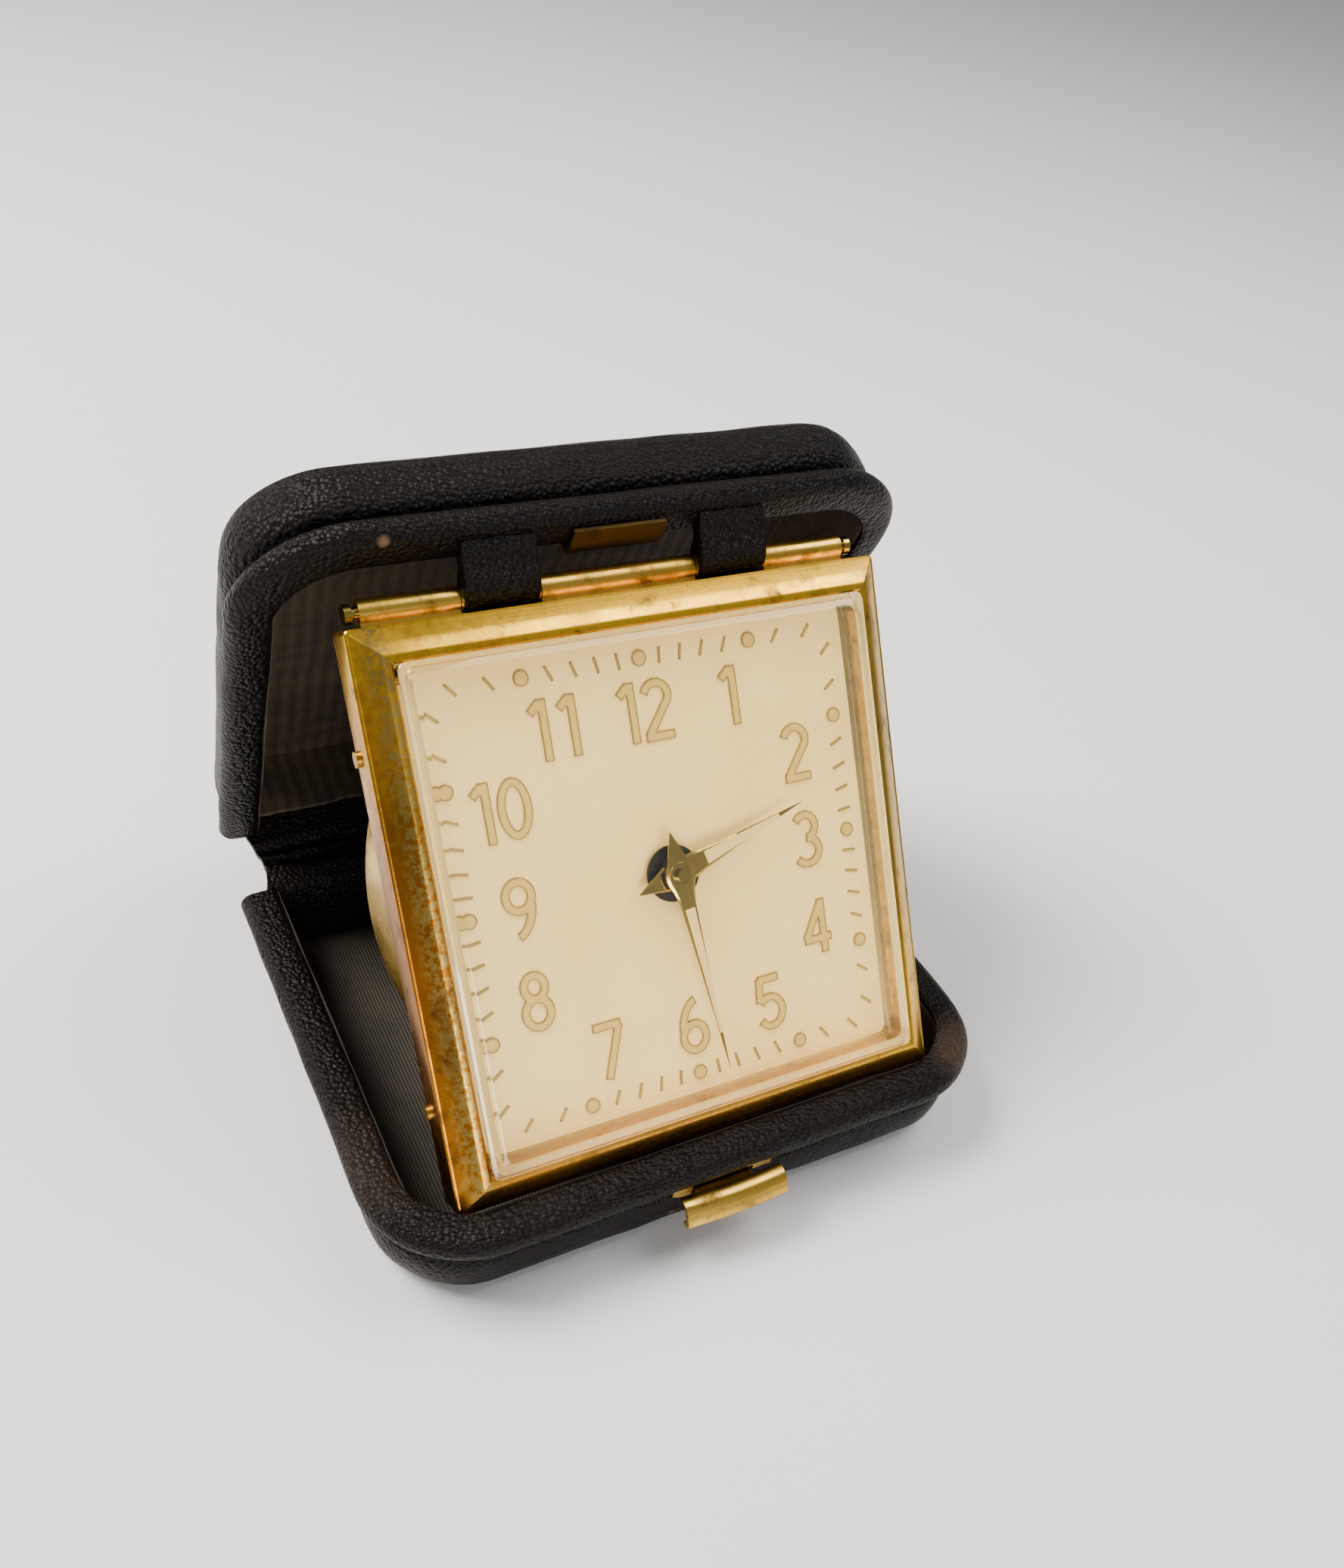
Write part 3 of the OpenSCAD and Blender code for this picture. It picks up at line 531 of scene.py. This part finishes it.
def body_profile():
    """The padded body: full and round from the groove down to where it meets the floor."""
    under = PANEL_IN - 0.3
    return [(WALL_IN, GROOVE_Z + 0.15), (-3.4, GROOVE_Z), (-3.1, 8.8), (-2.4, 8.45),
            (-1.75, 7.9), (-1.38, 7.1), (-1.25, 6.0), (-1.3, 4.4), (-1.65, 2.9), (-2.3, 1.6),
            (-3.2, 0.7), (-4.6, 0.15), (under, 0.0), (under, FLOOR_TOP),
            (WALL_IN, FLOOR_TOP + 0.05)]


def dents(x, y, seed):
    """Wide soft unevenness, the same for the same seed."""
    return noise.noise(Vector((x * 0.09 + seed, y * 0.09, seed)))


def half_case(tag, place, mat, crown, body_seed, rim_seed):
    """One leather-covered half: padded walls, an outside panel that may crown, the rim."""
    walls = tray_sweep(place, body_profile(), 0.22, body_seed)

    def outside(x, y, s):
        rise = crown * max(0.0, 1 - s * s)
        return -rise + (0.12 * dents(x, y, 5.0) * (1 - s ** 6) if crown else 0.0)

    panel = slab(place, PANEL_IN, outside, lambda x, y, s: FLOOR_TOP)
    piece(tag + "_padded_body", joined(walls, panel), mat, tag, (tag + "_shell",),
          SOFT_EDGE)
    rim = tray_sweep(place, rim_profile(), 0.16, rim_seed)
    piece(tag + "_rolled_rim", rim, mat, tag, (tag + "_rim",), SOFT_EDGE)


def lining(tag, place, mat, seed):
    """Cloth pasted up the walls and over the floor, with low wrinkles in it."""
    band = [(WALL_IN + 0.05, 12.3), (WALL_IN - 0.2, 12.45), (WALL_IN - 0.32, 12.0),
            (WALL_IN - 0.3, 6.0), (WALL_IN - 0.4, 2.6), (WALL_IN - 0.9, 1.75),
            (WALL_IN - 1.9, 1.5), (WALL_IN - 1.9, 1.05), (WALL_IN + 0.05, 1.05)]
    walls = tray_sweep(place, band, 0.12, seed)

    def top(x, y, s):
        wrinkle = noise.noise(Vector((x * 0.22 + seed, y * 0.07, seed)))
        return 1.42 + 0.12 * wrinkle * (1 - s ** 8)

    pad = slab(place, PANEL_IN + 0.1, lambda x, y, s: 1.0, top, rings=14)
    piece(tag + "_cloth", joined(walls, pad), mat, tag, (tag + "_lining",),
          SOFT_EDGE)


def lid_hem():
    """The lining's hem, turned over the spine at the bottom of the lid's hollow."""
    half, low, high = HALF_W + WALL_IN, 0.8, 10.4
    n = 40
    rows = []
    for k in range(n + 1):
        u = k / n * 2 - 1
        sag = 0.15 * dents(half * u, 4.0, 2.0)
        lip = high + 0.5 * dents(half * u * 3, 1.0, 6.0)
        section = [(-0.12, low), (-0.42 + sag, low), (-0.5 + sag, (low + lip) / 2),
                   (-0.35, lip - 0.3), (-0.1, lip), (0.0, (low + lip) / 2)]
        rows.append([lid(half * u, y, z) for y, z in section])
    piece("lid_hem", loft(rows), LINING_LID, "lid")


half_case("base", base, LEATHER_BASE, 0.0, 11.0, 33.0)
half_case("lid", lid, LEATHER_LID, 0.9, 3.0, 21.0)
lining("base", base, LINING_BASE, 2.0)
lining("lid", lid, LINING_LID, 8.0)
lid_hem()


# ------------------------------------------------------------- leather spine
def smooth_line(points, n):
    """A Catmull-Rom curve through points, n steps to each stretch."""
    pts = [Vector(p) for p in points]
    ends = [pts[0] * 2 - pts[1]] + pts + [pts[-1] * 2 - pts[-2]]
    out = []
    for i in range(1, len(ends) - 2):
        p0, p1, p2, p3 = ends[i - 1:i + 3]
        for k in range(n):
            t = k / n
            out.append(0.5 * (2 * p1 + (p2 - p0) * t + (2 * p0 - 5 * p1 + 4 * p2 - p3) * t * t
                              + (3 * p1 - p0 - 3 * p2 + p3) * t ** 3))
    out.append(pts[-1])
    return out


def spine_strip():
    """The strip behind the base, over the gap and under the lid, with soft folds."""
    thickness, half, n_across = 0.9, HALF_W - 3.2, 56
    edge = lid_local(0, 0, 0) / MM
    deep = lid_local(0, CASE_H - 0.7, 0) / MM
    out = Vector((math.sin(LID_LEAN), -math.cos(LID_LEAN)))
    middle = [(BASE_BACK + 0.5, 0.5), (BASE_BACK + 0.55, 4.5), (BASE_BACK + 0.7, 9.2),
              (BASE_BACK + 1.9, 11.9), (BASE_BACK + 4.3, 12.6), (BASE_BACK + 6.3, 12.7)]
    middle += [(edge.y + out.x * 0.5 - 0.6, edge.z + out.y * 0.5 - 0.9),
               (edge.y + 2.0 + out.x * 0.5, edge.z + 0.85 + out.y * 0.55),
               ((edge.y + deep.y) / 2 + out.x * 0.5, (edge.z + deep.z) / 2 + out.y * 0.5),
               (deep.y + out.x * 0.5, deep.z + out.y * 0.5)]
    line = smooth_line(middle, 6)
    loops = []
    for i, p in enumerate(line):
        a, b = line[max(i - 1, 0)], line[min(i + 1, len(line) - 1)]
        t = (b - a).normalized()
        normal = Vector((-t.y, t.x))
        free = math.sin(math.pi * min(max((i / len(line) - 0.22) / 0.5, 0.0), 1.0))
        row_top, row_low = [], []
        for k in range(n_across + 1):
            u = k / n_across * 2 - 1
            x = u * half * (1 - 0.035 * free)
            fold = free * (0.35 * math.sin(i * 0.9 + 2.2 * dents(x, i, 4.0))
                           + 0.5 * dents(x * 0.8, i * 3, 9.0))
            q = p + normal * fold
            row_top.append(Vector((x, q.x + normal.x * thickness / 2,
                                   q.y + normal.y * thickness / 2)) * MM)
            row_low.append(Vector((x, q.x - normal.x * thickness / 2,
                                   q.y - normal.y * thickness / 2)) * MM)
        loops.append(row_top + row_low[::-1])
    strip = piece("spine_strip", loft(loops), LEATHER_SPINE, None,
                  ("spine_leather",), SOFT_EDGE)
    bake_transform(strip)


spine_strip()


# --------------------------------------------------------------- clock bezel
def square_path(w, h, r, n_side=16):
    """Places round a square with small round corners."""
    n_arc = 6
    path = []
    corners = [(w / 2 - r, h / 2 - r, 0), (-w / 2 + r, h / 2 - r, 90),
               (-w / 2 + r, -h / 2 + r, 180), (w / 2 - r, -h / 2 + r, 270)]
    for k, (cx, cy, a0) in enumerate(corners):
        for i in range(n_arc + 1):
            a = math.radians(a0 + 90 * i / n_arc)
            path.append((cx + r * math.cos(a), cy + r * math.sin(a)))
        last = path[-1]
        nx, ny, _ = corners[(k + 1) % 4]
        a = math.radians(a0 + 90)
        first = (nx + r * math.cos(a), ny + r * math.sin(a))
        for i in range(1, n_side):
            t = i / n_side
            path.append((last[0] + (first[0] - last[0]) * t,
                         last[1] + (first[1] - last[1]) * t))
    return path


def head_sweep(profile):
    """A profile of (outward, depth) points carried round the head, mitred at its corners."""
    least_r = 0.12
    loops = [[head(x, d, y) for x, y in
              square_path(HEAD_W + 2 * o, HEAD_H + 2 * o, max(HEAD_R + o, least_r))]
             for o, d in profile]
    return loft(loops, closed_path=True)


def bezel_frame():
    """Side band, a bright bead at the edge, the sloping frame and the inner lip."""
    inner = -(HEAD_W - GLASS) / 2
    top = -CHAMFER_H
    profile = [(-1.4, BAND_D), (-0.25, BAND_D), (0.0, BAND_D - 0.25), (0.0, 0.35),
               (-0.06, 0.12), (-0.22, -0.02), (-0.42, -0.06), (-0.55, -0.16),
               (-CHAMFER_W * 0.5, top * 0.52), (-CHAMFER_W + 0.3, top + 0.08),
               (-CHAMFER_W - 0.05, top), (inner + 0.25, top), (inner, top + 0.25),
               (inner, 1.2), (-1.4, 1.2)]
    piece("bezel_frame", head_sweep(profile), BEZEL_BRASS, "clock", ("bezel",), 24)


def crystal_block():
    """Thick acrylic: a step round the edge, a bevel, and a low dome on top."""
    half = GLASS / 2 - 0.05
    inner, dome, crown = half - 1.5, half - 1.7, 0.35
    foot_d, dome_d, dome_r, n_dome, n_side = 1.3, -3.74, 1.4, 12, 28

    def ring(size, d, r):
        return [head(x, d, y) for x, y in square_path(2 * size, 2 * size, r, n_side)]

    def on_dome(x, y):
        u, v = x / half, y / half
        return head(x, dome_d - crown * (1 - u * u) * (1 - v * v), y)

    levels = [(half, foot_d, 1.0), (half, -2.75, 1.0), (half - 0.12, -2.95, 1.0),
              (half - 0.5, -3.0, 1.0), (half - 0.62, -3.1, 1.1), (half - 0.7, -3.3, 1.2),
              (half - 1.5, -3.72, 1.4), (dome, dome_d, dome_r)]
    loops = [ring(*level) for level in levels]
    size = len(loops[0])
    for k in range(1, n_dome):
        s = 1 - k / n_dome
        loops.append([on_dome(x * s, y * s)
                      for x, y in square_path(2 * dome, 2 * dome, dome_r, n_side)])
    verts = [p for loop in loops for p in loop]
    faces = []
    for i in range(len(loops) - 1):
        faces += ring_quads(i * size, (i + 1) * size, size)
    verts.append(on_dome(0, 0))
    top = (len(loops) - 1) * size
    faces += [(top + j, top + (j + 1) % size, len(verts) - 1) for j in range(size)]
    k = len(verts)
    under = [ring(half, foot_d, 1.0), ring(inner, foot_d, 1.0), ring(inner, -2.3, 1.0)]
    verts += [p for loop in under for p in loop]
    for a, b in ((k, k + size), (k + size, k + 2 * size)):
        faces += [(a + j, b + j, b + (j + 1) % size, a + (j + 1) % size) for j in range(size)]
    faces.append(tuple(k + 2 * size + j for j in range(size)))
    block = piece("crystal_block", (verts, faces), ACRYLIC, "clock", ("crystal",),
                  22)
    block.visible_shadow = False


bezel_frame()
crystal_block()


# --------------------------------------------------------------------- hands
def dial_turn(angle):
    """Places on the head, turned clockwise by an angle seen from the front."""
    c, s = math.cos(math.radians(angle)), math.sin(math.radians(angle))
    return lambda x, y, z: head(x * c + y * s, z, -x * s + y * c)


def prism(at, levels):
    """A plate from stacked outlines, each a (points, depth) pair of equal length."""
    return loft([[at(x, y, z) for x, y in points] for points, z in levels])


def pointed_hand(name, length, tail, boss, neck, d, angle, body, node):
    """A bright plate hand at depth d: round boss, neck, long taper, pointed tail, inlay."""
    n_ring = 40
    at = dial_turn(angle)
    side = [(0.8 * boss, -1.25), (0.97 * boss, -0.5), (boss, 0.15), (0.95 * boss, 0.8),
            (0.78 * boss, 1.6), (neck / 2 + 0.2, 2.6), (neck / 2, 3.7),
            (0.27 * neck, 0.48 * length)]
    outline = [(0, -tail)] + side + [(0, length)] + [(-x, y) for x, y in side[::-1]]
    inner = [(0.8 * x, 0.97 * y) for x, y in outline]
    plate = prism(at, [(outline, d + 0.12), (outline, d), (inner, d - 0.12)])
    ring = [(boss - 0.9, d - 0.1), (boss - 0.35, d - 0.1), (boss - 0.4, d - 0.24),
            (boss - 0.85, d - 0.24)]
    loops = [[at(r * math.cos(t), r * math.sin(t), z) for r, z in ring]
             for t in (math.tau * i / n_ring for i in range(n_ring))]
    piece(name, joined(plate, loft(loops, closed_path=True)), HAND_GILT, body,
          (node,), 12)
    wide, far, reach = 0.31 * neck, 0.3 * 0.31 * neck, 0.8 * length
    window = [(-wide, 4.2), (wide, 4.2), (far, reach), (-far, reach)]
    inlay = prism(at, [(window, d - 0.1), (window, d - 0.2)])
    piece(name + "_inlay", inlay, INLAY, body)


pointed_hand("minute_pointer", 25.2, 5.3, 1.9, 2.0, -1.15, 6 * MINUTES, "minute",
             "minute_hand")
pointed_hand("hour_pointer", 19.0, 5.4, 2.0, 2.6, -0.15, HOUR_ANGLE, "hour",
             "hour_hand")


# ----------------------------------------------------- straps, catch, clasp
def rounded_strip(x0, x1, outline):
    """A strap: an outline in the lid's side plane carried across, its sides rounded."""
    edge, n = 0.35, 10
    pts = smooth_line(outline + [outline[0]], 5)[:-1]
    centre = sum(pts, Vector((0, 0))) / len(pts)
    xs = [(x0, edge), (x0 + edge * 0.3, edge * 0.3), (x0 + edge, 0.0)]
    xs += [(x0 + edge + (x1 - x0 - 2 * edge) * i / n, 0.0) for i in range(1, n)]
    xs += [(x1 - edge, 0.0), (x1 - edge * 0.3, edge * 0.3), (x1, edge)]
    loops = []
    for x, shrink in xs:
        loop = []
        for p in pts:
            away = p - centre
            q = centre + away * (1 - shrink / max(away.length, 0.5))
            dent = 0.06 * noise.noise(Vector((x * 0.5, p.x * 0.6, p.y * 0.6)))
            loop.append(lid_local(x, q.x, q.y + dent))
        loops.append(loop)
    return loft(loops)


def leather_tabs():
    """Two leather straps from the rim that hold the lid's hinge knuckles."""
    pin = Vector((PIN.y, PIN.z)) / MM - Vector((LID_Y, LID_Z))
    c, s = math.cos(-LID_LEAN), math.sin(-LID_LEAN)
    p = Vector((pin.x * c - pin.y * s, pin.x * s + pin.y * c))
    free = CASE_D - 0.5
    outline = [(p.x - 1.5, p.y - 0.7), (p.x - 1.75, p.y + 1.0), (p.x - 1.1, p.y + 2.6),
               (-2.1, free - 2.9), (-0.9, free - 1.7), (-0.1, free - 1.2), (0.35, free - 1.8),
               (0.35, free - 3.4), (-0.7, free - 4.4), (p.x + 1.3, p.y + 0.2)]
    parts = [rounded_strip(k * STRAP_X - STRAP_HALF, k * STRAP_X + STRAP_HALF, outline)
             for k in (-1, 1)]
    piece("knuckle_straps", joined(*parts), LEATHER_LID, "lid", ("lid_tabs",), 50)


def bent_plate(x_half, line, thickness, place, bow=0.0):
    """Sheet brass bent along a line and carried across, its middle bowed forward."""
    n = 16
    pts = smooth_line(line, 5)
    loops = []
    for k in range(n + 1):
        u = k / n * 2 - 1
        x = x_half * u
        shift = Vector((bow * (1 - u * u), 0))
        row_a, row_b = [], []
        for i, p in enumerate(pts):
            a, b = pts[max(i - 1, 0)], pts[min(i + 1, len(pts) - 1)]
            t = (b - a).normalized()
            normal = Vector((-t.y, t.x))
            q = p - shift
            row_a.append(place(x, *(q + normal * thickness / 2)))
            row_b.append(place(x, *(q - normal * thickness / 2)))
        loops.append(row_a + row_b[::-1])
    return loft(loops)


def catch_strip():
    """The lid's strike plate: over the rim's face, then bent down into the case."""
    edge = CASE_D - 5.2
    line = [(-0.45, edge + 3.4), (-0.55, edge + 2.4), (-0.6, edge + 0.9), (-0.35, edge - 0.3),
            (0.5, edge - 0.55), (2.3, edge - 0.5)]
    piece("catch_strip", bent_plate(5.7, line, 0.5, lid_local), CATCH, "lid",
          ("catch_plate",), 40)


def clasp_thumb():
    """The thumb piece: a bowed brass plate with a rolled lower edge, and its stem."""
    back = -CASE_D + 0.1
    line = [(back - 0.15, 8.8), (back - 0.8, 8.95), (back - 1.5, 8.85), (back - 2.0, 8.4),
            (back - 2.35, 7.9), (back - 2.7, 7.3), (back - 2.8, 6.8), (back - 2.4, 6.5),
            (back - 1.9, 6.7)]
    shell = bent_plate(7.0, line, 0.6, base, bow=0.3)
    x, y0, y1, z0, z1, cut = 3.95, back - 1.2, back + 2.95, 5.15, 7.65, 0.3
    ring = [(-x, z0 + cut), (-x + cut, z0), (x - cut, z0), (x, z0 + cut), (x, z1 - cut),
            (x - cut, z1), (-x + cut, z1), (-x, z1 - cut)]
    stem = loft([[base(qx, y, qz) for qx, qz in ring] for y in (y0, (y0 + y1) / 2, y1)])
    piece("clasp_thumb", joined(shell, stem), BRASS, "clasp", ("clasp_button",), 40)


leather_tabs()
catch_strip()
clasp_thumb()


# ------------------------------------------------------ finishes of CAD nodes
finishes = {
    BRASS: ["head_knuckles", "lid_knuckles", "clasp_plate", "side_studs", "back_frame",
            "back_cover", "time_set_knob", "alarm_set_knob", "time_key", "alarm_key",
            "time_key_wing", "alarm_key_wing", "stop_lever"],
    HAND_GILT: ["centre_arbor", "hinge_pin"],
    PLATE_BRASS: ["front_plate", "back_plate", "pillars", "cover_screws", "centre_wheel",
                  "hour_wheel", "minute_wheel", "alarm_wheel", "alarm_set_pinion",
                  "third_wheel", "fourth_wheel", "escape_wheel", "balance_wheel",
                  "time_barrel", "alarm_barrel", "regulator"],
    GILT: ["dial_numerals", "dial_dots", "dial_ticks"],
    STEEL: ["cannon_pinion", "centre_pinion", "pallet_fork",
            "time_arbor", "alarm_arbor", "alarm_hammer"],
    BLUE_STEEL: ["hairspring", "time_mainspring", "alarm_mainspring"],
    DARK: ["alarm_disc"],
    DIAL: ["dial"],
}
for material, names in finishes.items():
    for name in names:
        for material_slot in frame["nodes"][name].material_slots:
            material_slot.material = material


# --------------------------------------------------- floor, lights and camera
def stage_floor():
    """A pale sheet that curves up far behind the object; its sizes are in metres."""
    half, front, back, radius, height, n = 1.6, -1.2, 0.9, 0.5, 2.0, 12
    profile = [(front, 0.0), (back, 0.0)]
    profile += [(back + radius * math.sin(t), radius * (1 - math.cos(t)))
                for t in (math.pi / 2 * i / n for i in range(1, n + 1))]
    profile.append((back + radius, height))
    verts, faces = [], []
    for y, z in profile:
        verts += [(-half, y, z), (half, y, z)]
    for i in range(len(profile) - 1):
        faces.append((2 * i, 2 * i + 1, 2 * i + 3, 2 * i + 2))
    mesh = bpy.data.meshes.new("floor")
    mesh.from_pydata(verts, [], faces)
    mesh.polygons.foreach_set("use_smooth", [True] * len(mesh.polygons))
    mesh.materials.append(floor_paper())
    add_object("floor", mesh)


def area_light(name, place, size, power, colour=(1, 1, 1)):
    """A square lamp aimed at the middle of the object; places and sizes in metres."""
    aim = (0, 0, 0.03)
    data = bpy.data.lights.new(name, "AREA")
    data.size = size
    data.energy = power
    data.color = colour
    obj = add_object(name, data)
    obj.location = place
    obj.rotation_euler = (Vector(aim) - Vector(place)).to_track_quat("-Z", "Y").to_euler()


def camera():
    """The photograph's view: from the left and above, rolled a little."""
    place = Vector((-65.56, -102.13, 142.71)) * MM
    right = Vector((0.8805, -0.4531, 0.1392)).normalized()
    look = Vector((0.4150, 0.5951, -0.6882)).normalized()
    up = right.cross(look).normalized()
    right = look.cross(up).normalized()
    data = bpy.data.cameras.new("camera")
    data.sensor_width = 36
    data.lens = 30.26
    data.shift_y = 0.079
    data.clip_start = 0.005
    obj = add_object("camera", data)
    rotation = Matrix((right, up, -look)).transposed()
    obj.matrix_world = Matrix.Translation(place) @ rotation.to_4x4()
    bpy.context.scene.camera = obj


def world_light():
    """A weak, slightly cool sky."""
    world = bpy.data.worlds.new("studio")
    world.use_nodes = True
    background = world.node_tree.nodes["Background"]
    background.inputs["Color"].default_value = (0.93, 0.96, 1.0, 1)
    background.inputs["Strength"].default_value = 0.34
    bpy.context.scene.world = world


stage_floor()
world_light()
area_light("key", (-0.35, 0.25, 0.55), 0.35, 10.0, (1.0, 0.97, 0.92))
area_light("fill", (0.36, -0.02, 0.60), 0.4, 3.4, (1.0, 0.98, 0.94))
area_light("front", (-0.12, -0.75, 0.16), 0.3, 3.0)
camera()
